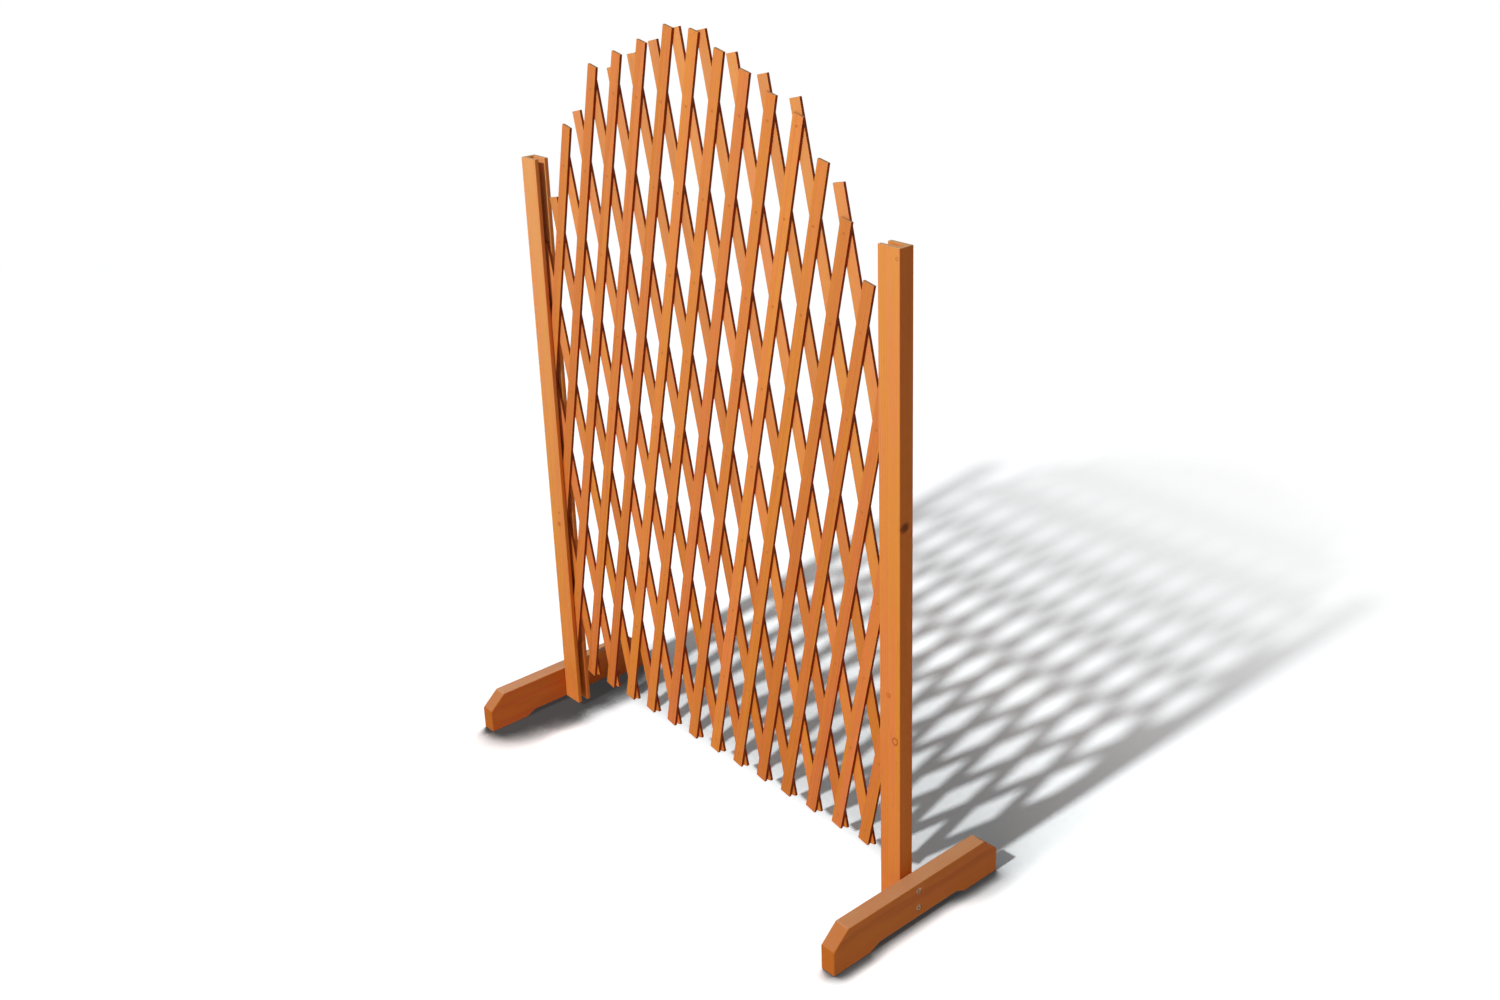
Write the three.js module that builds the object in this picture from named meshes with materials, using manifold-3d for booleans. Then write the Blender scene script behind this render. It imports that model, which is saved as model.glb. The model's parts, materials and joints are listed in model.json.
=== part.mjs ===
// Free-standing expanding trellis panel: two layers of slats pivoted on each other in a lattice
// with an arched top, held between two grooved posts that stand on screwed-on foot boards.
// Millimetres, +Z up, +X across the panel, -Y to the front. The origin lies on the ground,
// under the middle of the panel.
import * as THREE from 'three';
import { mergeVertices } from 'three/addons/utils/BufferGeometryUtils.js';
import Module from 'manifold-3d';

const wasm = await Module();
wasm.setup();

// Lattice: the pitch is the distance between pivots along a slat, the gap is between the columns
// of pivots as the panel stands. Angles are from upright.
const columnCount = 14;
const columnGap = 52;
const pivotPitch = 119.5;
const openAngle = THREE.MathUtils.degToRad(31);
const bottomPivotHeight = 94;
const bottomOverhang = 20;
const channelOverhang = 8;
const postPinRow = 2;

// Slats
const slatWidth = 18.5;
const slatThickness = 4;
const layerGap = 0.3;

// Top end of each front slat in pivot pitches above its lowest row, from the left. The back
// slats mirror them. Together they draw the arch.
const firstColumn = -2;
const slatCount = 16;
const topEndShares = [7.5, 8.28, 8.47, 8.64, 8.84, 8.83, 8.66, 8.48, 8.29, 8.12, 7.7, 7.15, 6.55, 5.9];

// Rivets: a shank on each front slat that turns in the back slat and is headed behind it
const rivetSides = 6;
const rivetRadius = 1.5;
const rivetHeadRadius = 2.6;
const rivetHeadThickness = 0.4;
const rivetHeadGap = 0.25;
const runningClearance = 0.3;

// Posts: a channel section with its groove towards the panel
const postLength = 904;
const postWidth = 35;
const flangeThickness = 6.35;
const webThickness = 7;
const grooveClearance = 0.35;
const slatEndClearance = 0.75;
const postEdgeBevel = 1;

// Post pins
const postPinRadius = 2;
const postPinHeadRadius = 3.6;
const postPinHeadHeight = 1.2;
const roundSides = 12;

// Feet
const footLength = 310;
const footHeight = 59;
const footThickness = 23.5;
const footChamferLength = 26.5;
const footChamferDrop = 23.5;
const footPadLength = 65;
const footRampLength = 17;
const footArchRise = 7.5;
const footEdgeBevel = 1;
const seatGap = 0.3;

// Foot screws
const screwSides = 16;
const screwShankRadius = 2.25;
const screwHeadRadius = 5;
const screwHeadDepth = 2.8;
const screwPointLength = 4;
const screwTipMargin = 1;
const screwHeadSink = 0.4;
const screwSlotWidth = 1.2;
const screwSlotLength = 5.4;
const screwSlotDepth = 1.4;
const screwHeightShares = [0.36, 0.8];

const cutOverrun = 1;

// Sizes that follow from the ones above
const restAngle = Math.asin(columnGap / (2 * pivotPitch));
const rowRise = pivotPitch * Math.cos(restAngle);
const halfPanel = columnGap * columnCount / 2;
const rivetHeadSeat = layerGap / 2 + slatThickness + rivetHeadGap;
const grooveWidth = 2 * (rivetHeadSeat + rivetHeadThickness + grooveClearance);
const postDepth = grooveWidth + 2 * flangeThickness;
const slatEndReach = channelOverhang * Math.sin(openAngle) + slatWidth / 2 * Math.cos(openAngle);
const pivotInset = webThickness + slatEndClearance + slatEndReach;
const postOuterX = halfPanel + pivotInset;
const footInnerX = postOuterX + seatGap;
const screwLength = footThickness + seatGap + webThickness - screwHeadSink - screwTipMargin;

const slatMaterial = new THREE.MeshStandardMaterial({ color: 0xd07a38, roughness: 0.55, metalness: 0 });
const backSlatMaterial = new THREE.MeshStandardMaterial({ color: 0xc87234, roughness: 0.58, metalness: 0 });
const postMaterial = new THREE.MeshStandardMaterial({ color: 0xcf7a3b, roughness: 0.55, metalness: 0 });
const footMaterial = new THREE.MeshStandardMaterial({ color: 0xb9683a, roughness: 0.6, metalness: 0 });
const steelMaterial = new THREE.MeshStandardMaterial({ color: 0x9c8f7c, roughness: 0.4, metalness: 0.9 });

// Closed mesh to a solid that can be joined and cut, and back
function solidOf(geometry) {
  const bare = geometry.clone();
  bare.deleteAttribute('normal');
  bare.deleteAttribute('uv');
  const merged = mergeVertices(bare);
  return new wasm.Manifold(new wasm.Mesh({
    numProp: 3,
    vertProperties: new Float32Array(merged.attributes.position.array),
    triVerts: new Uint32Array(merged.index.array),
  }));
}

function geometryOf(solid) {
  const mesh = solid.getMesh();
  const geometry = new THREE.BufferGeometry();
  geometry.setAttribute('position', new THREE.BufferAttribute(mesh.vertProperties, 3));
  geometry.setIndex(new THREE.BufferAttribute(mesh.triVerts, 1));
  geometry.computeVertexNormals();
  return geometry;
}

function named(name, geometry, material) {
  const mesh = new THREE.Mesh(geometry, material.clone());
  mesh.name = name;
  return mesh;
}

function outline(corners) {
  return new THREE.Shape(corners.map(([across, up]) => new THREE.Vector2(across, up)));
}

// Radius whose many-sided cylinder leaves the clearance round a many-sided pin at every turn
function holeRadius(pinRadius, clearance, sides) {
  return (pinRadius + clearance) / Math.cos(Math.PI / sides);
}

// Rows of the lattice, counted upwards from the lowest pivots
function bottomRow(column) {
  const overhang = column > 0 ? bottomOverhang : channelOverhang;
  return Math.max(0, -2 * column) - overhang / pivotPitch;
}

function topRow(column) {
  const step = column - firstColumn;
  const channelEnd = 2 * (columnCount - column) + channelOverhang / pivotPitch;
  return step < topEndShares.length ? topEndShares[step] : channelEnd;
}

function reaches(column, row) {
  return row > bottomRow(column) && row < topRow(column);
}

// A front slat meets a back slat where both reach the row. Back slats are the front ones mirrored.
function pivotRows(column) {
  const rows = [];
  for (let row = 0; row < topRow(column); row += 1) {
    const partner = columnCount - column - row;
    const exists = partner >= firstColumn && partner < firstColumn + slatCount;
    if (exists && reaches(column, row) && reaches(partner, row)) rows.push(row);
  }
  return rows;
}

// The panel is pinned to both posts at one row
function isPostPivot(column, row) {
  const place = column + row / 2;
  return row === postPinRow && (place === 0 || place === columnCount);
}

function slatBlank(column, middleY) {
  const length = (topRow(column) - bottomRow(column)) * pivotPitch;
  const blank = new THREE.BoxGeometry(slatWidth, slatThickness, length);
  blank.translate(0, middleY, bottomRow(column) * pivotPitch + length / 2);
  return solidOf(blank);
}

function slatHole(radius, sides, row, middleY) {
  const hole = new THREE.CylinderGeometry(radius, radius, slatThickness + 2 * cutOverrun, sides);
  hole.translate(0, middleY, row * pivotPitch);
  return solidOf(hole);
}

function rivet(row) {
  const root = -layerGap / 2 - slatThickness / 2;
  const head = rivetHeadSeat + rivetHeadThickness;
  const profile = outline([
    [0, root],
    [rivetRadius, root],
    [rivetRadius, rivetHeadSeat],
    [rivetHeadRadius, rivetHeadSeat],
    [rivetHeadRadius, head],
    [0, head],
  ]);
  const geometry = new THREE.LatheGeometry(profile.getPoints(), rivetSides);
  geometry.translate(0, 0, row * pivotPitch);
  return solidOf(geometry);
}

function frontSlatGeometry(column) {
  const middleY = -(layerGap + slatThickness) / 2;
  let solid = slatBlank(column, middleY);
  for (const row of pivotRows(column)) {
    if (isPostPivot(column, row)) {
      const radius = holeRadius(postPinRadius, runningClearance, roundSides);
      solid = solid.subtract(slatHole(radius, roundSides, row, middleY));
    } else {
      solid = solid.add(rivet(row));
    }
  }
  return geometryOf(solid);
}

function backSlatGeometry(column) {
  const middleY = (layerGap + slatThickness) / 2;
  let solid = slatBlank(column, middleY);
  for (const row of pivotRows(column)) {
    const onPost = isPostPivot(column, row);
    const sides = onPost ? roundSides : rivetSides;
    const radius = holeRadius(onPost ? postPinRadius : rivetRadius, runningClearance, sides);
    solid = solid.subtract(slatHole(radius, sides, row, middleY));
  }
  return geometryOf(solid);
}

function numbered(prefix, number) {
  return `${prefix}_${String(number).padStart(2, '0')}`;
}

function lattice() {
  const group = new THREE.Group();
  for (let step = 0; step < slatCount; step += 1) {
    const column = firstColumn + step;
    const front = named(numbered('front_slat', step + 1), frontSlatGeometry(column), slatMaterial);
    front.position.set(column * columnGap - halfPanel, 0, bottomPivotHeight);
    front.rotation.y = restAngle;
    const back = named(numbered('back_slat', slatCount - step), backSlatGeometry(column), backSlatMaterial);
    back.position.set(halfPanel - column * columnGap, 0, bottomPivotHeight);
    back.rotation.y = -restAngle;
    group.add(front, back);
  }
  return group;
}

// Channel section of the left post, seen from above, with bevelled outer edges
function postGeometry() {
  const outer = -postOuterX;
  const inner = outer + postWidth;
  const half = postDepth / 2;
  const section = outline([
    [outer + postEdgeBevel, -half],
    [inner - postEdgeBevel, -half],
    [inner, postEdgeBevel - half],
    [inner, -grooveWidth / 2],
    [outer + webThickness, -grooveWidth / 2],
    [outer + webThickness, grooveWidth / 2],
    [inner, grooveWidth / 2],
    [inner, half - postEdgeBevel],
    [inner - postEdgeBevel, half],
    [outer + postEdgeBevel, half],
    [outer, half - postEdgeBevel],
    [outer, postEdgeBevel - half],
  ]);
  const geometry = new THREE.ExtrudeGeometry(section, { depth: postLength, bevelEnabled: false });
  geometry.translate(0, 0, footArchRise);
  return geometry;
}

function postPinHole() {
  const radius = holeRadius(postPinRadius, runningClearance, roundSides);
  const hole = new THREE.CylinderGeometry(radius, radius, postDepth + 2 * cutOverrun, roundSides);
  hole.translate(-halfPanel, 0, postPinHeight());
  return solidOf(hole);
}

function postPinHeight() {
  return bottomPivotHeight + postPinRow * rowRise;
}

// Screw profile on its own axis, from the point to the head, or the hole that clears it
function screwSolid(extra, overrun) {
  const shank = screwShankRadius + extra;
  const head = screwHeadRadius + extra;
  const profile = outline([
    [0, -overrun],
    [shank, screwPointLength - overrun],
    [shank, screwLength - screwHeadDepth],
    [head, screwLength],
    [head, screwLength + overrun],
    [0, screwLength + overrun],
  ]);
  const geometry = new THREE.LatheGeometry(profile.getPoints(), screwSides);
  geometry.rotateZ(Math.PI / 2);
  geometry.translate(-postOuterX + webThickness - screwTipMargin, 0, 0);
  return solidOf(geometry);
}

function screwSlot(turn) {
  const slot = new THREE.BoxGeometry(2 * screwSlotDepth, screwSlotWidth, screwSlotLength);
  slot.rotateX(turn);
  slot.translate(-postOuterX + webThickness - screwTipMargin - screwLength, 0, 0);
  return solidOf(slot);
}

function screwGeometry() {
  const turns = [0, Math.PI / 2];
  const slots = turns.map(screwSlot);
  return geometryOf(slots.reduce((solid, slot) => solid.subtract(slot), screwSolid(0, 0)));
}

function screwHeights() {
  return screwHeightShares.map((share) => share * footHeight);
}

function cutForScrews(solid) {
  return screwHeights().reduce(
    (rest, height) => rest.subtract(screwSolid(runningClearance, cutOverrun).translate([0, 0, height])),
    solid,
  );
}

// Hole through the web: the screw's clearance, carried on into the groove
function webHole(height) {
  const radius = screwShankRadius + runningClearance;
  const hole = new THREE.CylinderGeometry(radius, radius, webThickness + 2 * cutOverrun, screwSides);
  hole.rotateZ(Math.PI / 2);
  hole.translate(-postOuterX + webThickness / 2, 0, height);
  return solidOf(hole);
}

function drilledPost() {
  let solid = solidOf(postGeometry()).subtract(postPinHole());
  for (const height of screwHeights()) solid = solid.subtract(webHole(height));
  return geometryOf(solid);
}

// Side outline of a foot, with chamfered top corners, two pads and a shallow arch between them
function footOutline() {
  const half = footLength / 2;
  const pad = half - footPadLength;
  const arch = pad - footRampLength;
  const shoulder = footHeight - footChamferDrop;
  return outline([
    [-half, footEdgeBevel],
    [footEdgeBevel - half, 0],
    [-pad, 0],
    [-arch, footArchRise],
    [arch, footArchRise],
    [pad, 0],
    [half - footEdgeBevel, 0],
    [half, footEdgeBevel],
    [half, shoulder],
    [half - footChamferLength, footHeight],
    [footChamferLength - half, footHeight],
    [-half, shoulder],
  ]);
}

function footGeometry() {
  const board = new THREE.ExtrudeGeometry(footOutline(), { depth: footThickness, bevelEnabled: false });
  const along = new THREE.Vector3(0, 1, 0);
  const up = new THREE.Vector3(0, 0, 1);
  const across = new THREE.Vector3(1, 0, 0);
  board.applyMatrix4(new THREE.Matrix4().makeBasis(along, up, across));
  board.translate(-footInnerX - footThickness, 0, 0);
  return geometryOf(cutForScrews(solidOf(board)));
}

// The right stand is the left one turned half round
function stand(side, turn) {
  const group = new THREE.Group();
  group.rotation.z = turn;
  group.add(named(`${side}_post`, drilledPost(), postMaterial));
  group.add(named(`${side}_foot`, footGeometry(), footMaterial));
  screwHeights().forEach((height, index) => {
    const place = index === 0 ? 'lower' : 'upper';
    const screw = named(`${side}_${place}_foot_screw`, screwGeometry(), steelMaterial);
    screw.position.z = height;
    group.add(screw);
  });
  return group;
}

// Pivot pin through both flanges of a post, headed at the front
function postPin(side, x) {
  const seat = -postDepth / 2 - seatGap;
  const dome = outline([
    [0, postDepth / 2],
    [postPinRadius, postDepth / 2],
    [postPinRadius, seat],
    [postPinHeadRadius, seat],
    [postPinHeadRadius, seat - postPinHeadHeight / 2],
    [postPinRadius, seat - postPinHeadHeight],
    [0, seat - postPinHeadHeight],
  ]);
  const profile = dome.getPoints().reverse();
  const pin = named(`${side}_post_pin`, new THREE.LatheGeometry(profile, roundSides), steelMaterial);
  pin.position.set(x, 0, postPinHeight());
  return pin;
}

const trellis = new THREE.Group();
trellis.add(stand('left', 0), stand('right', Math.PI));
trellis.add(postPin('left', -halfPanel), postPin('right', halfPanel));
trellis.add(lattice());

export default trellis;
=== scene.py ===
import json
import math
import random

import bmesh
import bpy
from mathutils import Matrix, Vector


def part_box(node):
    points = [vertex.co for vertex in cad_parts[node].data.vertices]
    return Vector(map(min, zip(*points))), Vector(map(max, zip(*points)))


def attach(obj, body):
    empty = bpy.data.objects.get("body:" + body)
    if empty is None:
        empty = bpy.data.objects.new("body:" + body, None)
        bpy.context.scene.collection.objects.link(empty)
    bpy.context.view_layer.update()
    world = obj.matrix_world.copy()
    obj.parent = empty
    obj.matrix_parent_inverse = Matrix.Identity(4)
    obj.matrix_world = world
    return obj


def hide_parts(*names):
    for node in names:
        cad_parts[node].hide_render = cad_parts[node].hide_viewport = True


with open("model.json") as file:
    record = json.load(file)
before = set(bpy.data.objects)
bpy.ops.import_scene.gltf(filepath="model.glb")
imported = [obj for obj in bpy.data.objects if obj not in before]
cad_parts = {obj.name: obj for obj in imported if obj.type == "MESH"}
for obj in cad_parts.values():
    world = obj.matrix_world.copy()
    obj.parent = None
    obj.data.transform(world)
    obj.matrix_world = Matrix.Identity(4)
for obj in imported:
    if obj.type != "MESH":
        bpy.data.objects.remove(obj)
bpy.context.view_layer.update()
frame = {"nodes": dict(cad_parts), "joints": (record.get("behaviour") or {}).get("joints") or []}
print("frame loaded, parts:", len(frame["nodes"]))

# The camera stands to the right of the fence, a little above its arch
camera = {
    "place": (1.586, -1.257, 1.376),
    "towards": 48.49,  # degrees, from straight at the fence round to its left
    "down": 20.44,
    "roll": -1.6,
    "lens": 38.0,
    "shift": (-0.0219, -0.066),
    "farEnd": 200,
}


def setCamera():
    eye = bpy.data.cameras.new("photo_camera")
    eye.lens = camera["lens"]
    eye.shift_x, eye.shift_y = camera["shift"]
    eye.clip_end = camera["farEnd"]
    stand = bpy.data.objects.new("photo_camera", eye)
    bpy.context.scene.collection.objects.link(stand)
    turn = Matrix.Rotation(math.radians(camera["towards"]), 4, "Z")
    turn = turn @ Matrix.Rotation(math.radians(90 - camera["down"]), 4, "X")
    turn = turn @ Matrix.Rotation(math.radians(camera["roll"]), 4, "Z")
    stand.matrix_world = Matrix.Translation(camera["place"]) @ turn
    bpy.context.scene.camera = stand


setCamera()
print("camera set")

# Degrees between faces: flat ones are made one, and past the others an edge is an arris, is eased,
# or stays sharp when shaded
angles = {
    "flat": 1,
    "arris": 4,
    "eased": 25,
    "shadedBoard": 30,
    "shadedFastener": 40,
    "shadedRivet": 50,
}
nearEnough = 0.001  # metres within which two places are the same


# Working in edit mode
def workOn(piece):
    if bpy.context.object and bpy.context.object.mode != "OBJECT":
        bpy.ops.object.mode_set(mode="OBJECT")
    bpy.ops.object.select_all(action="DESELECT")
    piece.select_set(True)
    bpy.context.view_layer.objects.active = piece


def nothingSelected():
    bpy.ops.object.select_all(action="DESELECT")
    bpy.context.view_layer.objects.active = None


def pickPoints(piece, wanted):
    bpy.ops.mesh.select_mode(type="VERT")
    bpy.ops.mesh.select_all(action="DESELECT")
    shape = bmesh.from_edit_mesh(piece.data)
    for point in shape.verts:
        point.select = wanted(point.co)
    shape.select_flush_mode()
    bmesh.update_edit_mesh(piece.data)


def pickFaces(piece, wanted):
    bpy.ops.mesh.select_mode(type="FACE")
    bpy.ops.mesh.select_all(action="DESELECT")
    shape = bmesh.from_edit_mesh(piece.data)
    for face in shape.faces:
        face.select_set(wanted(face))
    bmesh.update_edit_mesh(piece.data)


def cutAt(place, normal, takeOff=False):
    bpy.ops.mesh.select_all(action="SELECT")
    bpy.ops.mesh.bisect(plane_co=place, plane_no=normal, use_fill=takeOff, clear_outer=takeOff)


def softenEdges(piece, width, steps):
    workOn(piece)
    bpy.ops.object.modifier_add(type="BEVEL")
    bevel = piece.modifiers[-1]
    bevel.width = width
    bevel.segments = steps
    bevel.limit_method = "ANGLE"
    bevel.angle_limit = math.radians(angles["eased"])
    bpy.ops.object.modifier_apply(modifier=bevel.name)


def copyPiece(source, name, move=Matrix.Identity(4)):
    twin = source.copy()
    twin.data = source.data.copy()
    twin.name = twin.data.name = name
    twin.data.transform(move)
    bpy.context.scene.collection.objects.link(twin)
    return twin


def joinPieces(pieces, name):
    workOn(pieces[0])
    for piece in pieces[1:]:
        piece.select_set(True)
    if len(pieces) > 1:
        bpy.ops.object.join()
    pieces[0].name = pieces[0].data.name = name
    return pieces[0]


def cutAway(piece, cutter):
    workOn(piece)
    bpy.ops.object.modifier_add(type="BOOLEAN")
    cut = piece.modifiers[-1]
    cut.operation = "DIFFERENCE"
    cut.object = cutter
    bpy.ops.object.modifier_apply(modifier=cut.name)
    bpy.data.objects.remove(cutter)


def turnedPiece(name, rings, sides):
    # rings are (radius, height) from the bottom up; each one is extruded from the one before and scaled
    nothingSelected()
    radius, height = rings[0]
    start = (0, 0, height)
    bpy.ops.mesh.primitive_circle_add(vertices=sides, radius=radius, fill_type="NGON", location=start)
    piece = bpy.context.object
    piece.name = piece.data.name = name
    bpy.ops.object.transform_apply(location=True, rotation=True, scale=True)
    bpy.ops.object.mode_set(mode="EDIT")
    bpy.ops.mesh.select_all(action="SELECT")
    for newRadius, newHeight in rings[1:]:
        bpy.ops.mesh.extrude_region_move(TRANSFORM_OT_translate={"value": (0, 0, newHeight - height)})
        grow = newRadius / radius
        bpy.ops.transform.resize(value=(grow, grow, 1), center_override=(0, 0, newHeight))
        radius, height = newRadius, newHeight
    bpy.ops.mesh.select_all(action="SELECT")
    bpy.ops.mesh.normals_make_consistent(inside=False)
    bpy.ops.object.mode_set(mode="OBJECT")
    return piece


def shadeByAngle(piece, degrees):
    workOn(piece)
    bpy.ops.object.shade_smooth_by_angle(angle=math.radians(degrees))


# How each board was sawn from its log, kept on the piece for the stain and grain to read
log = {
    "slatPith": (0.03, 0.08),  # metres from the pith to where a board was sawn
    "postPith": (0.05, 0.1),
    "footPith": (0.06, 0.12),
    "along": (-9, 9),
    "facingFrom": 0.35,  # from here on a face counts more and more as an end or a side
    "facingSpan": 0.45,
}
boardMarks = (
    ("grain", "FLOAT_VECTOR", "POINT"),  # place in the log, pith on its Z axis
    ("wear", "FLOAT", "POINT"),  # 1 on the arrises
    ("tone", "FLOAT", "POINT"),  # this board against its neighbours
    ("cutEnd", "FLOAT", "CORNER"),  # 1 where the saw went across the grain
    ("narrowSide", "FLOAT", "CORNER"),  # 1 on the narrow sides of a board
)


def rounded(place):
    return tuple(round(x, 6) for x in place)


def edgePlaces(piece):
    shape = bmesh.new()
    shape.from_mesh(piece.data)
    found = set()
    for edge in shape.edges:
        if edge.calc_face_angle(0) > math.radians(angles["arris"]):
            found.update(rounded(point.co) for point in edge.verts)
    shape.free()
    return found


def facingShare(part):
    return min(1.0, max(0.0, (abs(part) - log["facingFrom"]) / log["facingSpan"]))


def giveGrain(piece, toBoard, edges, draw, pithAway):
    mesh = piece.data
    sawn = Matrix.Rotation(draw.uniform(0, math.tau), 3, "Z")
    pith = Vector((draw.uniform(*pithAway), 0, draw.uniform(*log["along"])))
    toneOfPiece = draw.uniform(-1, 1)
    for name, kind, domain in boardMarks:
        mesh.attributes.new(name, kind, domain)
    grain, wear, tone, cutEnd, narrowSide = (mesh.attributes[mark[0]].data for mark in boardMarks)
    for index, point in enumerate(mesh.vertices):
        grain[index].vector = sawn @ (toBoard @ point.co) + pith
        wear[index].value = 1.0 if rounded(point.co) in edges else 0.0
        tone[index].value = toneOfPiece
    for face in mesh.polygons:
        facing = toBoard @ face.normal
        for corner in face.loop_indices:
            cutEnd[corner].value = facingShare(facing.z)
            narrowSide[corner].value = facingShare(facing.x)


# Shader building
def plug(tree, socket, value):
    if isinstance(value, bpy.types.NodeSocket):
        tree.links.new(value, socket)
    elif value is not None:
        socket.default_value = value


def sums(tree, operation, first, second=None, third=None, clamp=False):
    node = tree.nodes.new("ShaderNodeMath")
    node.operation = operation
    node.use_clamp = clamp
    for socket, value in zip(node.inputs, (first, second, third)):
        plug(tree, socket, value)
    return node.outputs[0]


def vectorSums(tree, operation, first, second=None, out=0):
    node = tree.nodes.new("ShaderNodeVectorMath")
    node.operation = operation
    plug(tree, node.inputs[0], first)
    plug(tree, node.inputs[1], second)
    return node.outputs[out]


def kept(tree, name, out="Fac"):
    node = tree.nodes.new("ShaderNodeAttribute")
    node.attribute_name = name
    return node.outputs[out]


def placeOn(tree, kind="Object"):
    return tree.nodes.new("ShaderNodeTexCoord").outputs[kind]


def parts(tree, vector):
    node = tree.nodes.new("ShaderNodeSeparateXYZ")
    plug(tree, node.inputs[0], vector)
    return node.outputs


def randomFor(tree, value):
    # one random share for each value
    node = tree.nodes.new("ShaderNodeTexWhiteNoise")
    node.noise_dimensions = "1D"
    plug(tree, node.inputs["W"], value)
    return node.outputs["Value"]


def noise(tree, place, pattern):
    stretch, detail, roughness = patterns[pattern]
    node = tree.nodes.new("ShaderNodeTexNoise")
    node.inputs["Scale"].default_value = 1
    node.inputs["Detail"].default_value = detail
    node.inputs["Roughness"].default_value = roughness
    plug(tree, node.inputs["Vector"], vectorSums(tree, "MULTIPLY", place, stretch))
    return node.outputs["Fac"]


def eased(tree, value, start, end, low=0.0, high=1.0):
    node = tree.nodes.new("ShaderNodeMapRange")
    node.interpolation_type = "SMOOTHSTEP"
    plug(tree, node.inputs["Value"], value)
    for name, number in (("From Min", start), ("From Max", end), ("To Min", low), ("To Max", high)):
        plug(tree, node.inputs[name], number)
    return node.outputs["Result"]


def mixed(tree, factor, first, second):
    node = tree.nodes.new("ShaderNodeMix")
    node.data_type = "RGBA"
    plug(tree, node.inputs[0], factor)
    for socket, colour in ((node.inputs[6], first), (node.inputs[7], second)):
        plug(tree, socket, (*colour, 1) if isinstance(colour, tuple) else colour)
    return node.outputs[2]


def newMaterial(name):
    made = bpy.data.materials.new(name)
    made.use_nodes = True
    return made, made.node_tree, made.node_tree.nodes["Principled BSDF"]


# One stain on the whole fence, with a painted sheen towards the top and dust with painted sheen on the faces
# that look up. Each kind of board takes it its own way, set beside that board
stain = {
    "yellow": (0.745, 0.257, 0.027),
    "pink": (0.775, 0.218, 0.058),
    "hueDepth": 0.15,
    "deep": (0.47, 0.098, 0.010),
    "pinkSpan": (0.40, 0.60),  # streak levels between which it turns from yellow to pink
    "evenDepth": 0.13,  # how deep the stain is where nothing below adds to it
    "ringDepth": 0.30,
    "fibreDepth": 0.34,
    "blotchDepth": 0.42,
    "toneDepth": 0.26,
    "fleckDepth": 0.4,
    "fleckSpan": (0.68, 0.78),
    # painted sheen: a paler wash that grows towards the top of each piece, standing in for the haze of light
    # on its upper parts
    "paintedSheen": (0.81, 0.375, 0.14),
    "paintedSheenDepth": 0.22,
    "paintedSheenHeights": (0.1, 1.15),
    "paintedSheenPatches": (1.2, 0.4),  # how much of it follows the blotches, and how much is even
    "side": (0.27, 0.020, 0.001),
    "sideDepth": 0.0,
    "sideStreaks": 0.3,
    "worn": (0.80, 0.31, 0.085),
    "wornDepth": 0.35,
    "wornSpan": (0.42, 0.66),
    "cutEnd": (0.46, 0.28, 0.135),
    "cutEndDepth": 0.92,
    "cutEndRings": 0.5,  # how much less of it there is in the late wood
    # dust, and a painted sheen standing in for light on the faces that look up
    "dustAndSheenColour": (0.78, 0.41, 0.20),
    "dustAndSheenLevel": (0.60, 0.98),  # how level a face lies where the dust and painted sheen begin, and where all of them lie
    "dustAndSheenPatches": (0.8, 0.6),
    "knot": (0.15, 0.032, 0.007),
    "knotDepth": 0.93,
    "knotRing": (0.36, 0.075, 0.010),
    "knotRingDepth": 0.75,
    "ringSpacing": 0.0031,
    "lateFrom": 0.2,  # shares of a year ring at which its late wood begins and is deepest
    "latePeak": 0.88,
    "lateLeast": 0.15,  # what the palest year still has of it
    "wander": 0.014,  # metres by which the year rings wander
    "knotPush": 0.005,  # and by which a knot pushes them aside
    "shine": 0.08,
    "roughness": 0.42,
    "fibreRoughness": 0.22,
    "cutEndRoughness": 0.25,
    "relief": 0.0002,
    "reliefStrength": 0.5,
    "lateRelief": 0.5,
    "fibreRelief": 0.7,
    "streakRelief": 0.4,
}
# How often each pattern repeats in a metre across, through and along the grain, its detail and roughness
patterns = {
    "wander": ((12, 12, 2.4), 2.5, 0.5),
    "fibre": ((1300, 1300, 24), 3, 0.65),
    "streak": ((210, 210, 3.5), 2, 0.5),
    "blotch": ((38, 38, 8), 3, 0.6),
    "fleck": ((760, 760, 44), 1, 0.5),
    "rub": ((190, 190, 60), 3, 0.6),
    "knot": ((420, 420, 420), 2, 0.5),
    "zincPatch": ((640, 640, 640), 3, 0.6),
    "zincSpeckle": ((2600, 2600, 2600), 2, 0.5),
}
# Where the parts of a knot begin and end, as shares of its half size
knotReach = {
    "push": (4.5, 0.9),
    "heart": (1.3, 0.3),
    "ringInside": (0.5, 0.95),
    "ringOutside": (1.45, 1.0),
    "ripple": 0.7,
}


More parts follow.
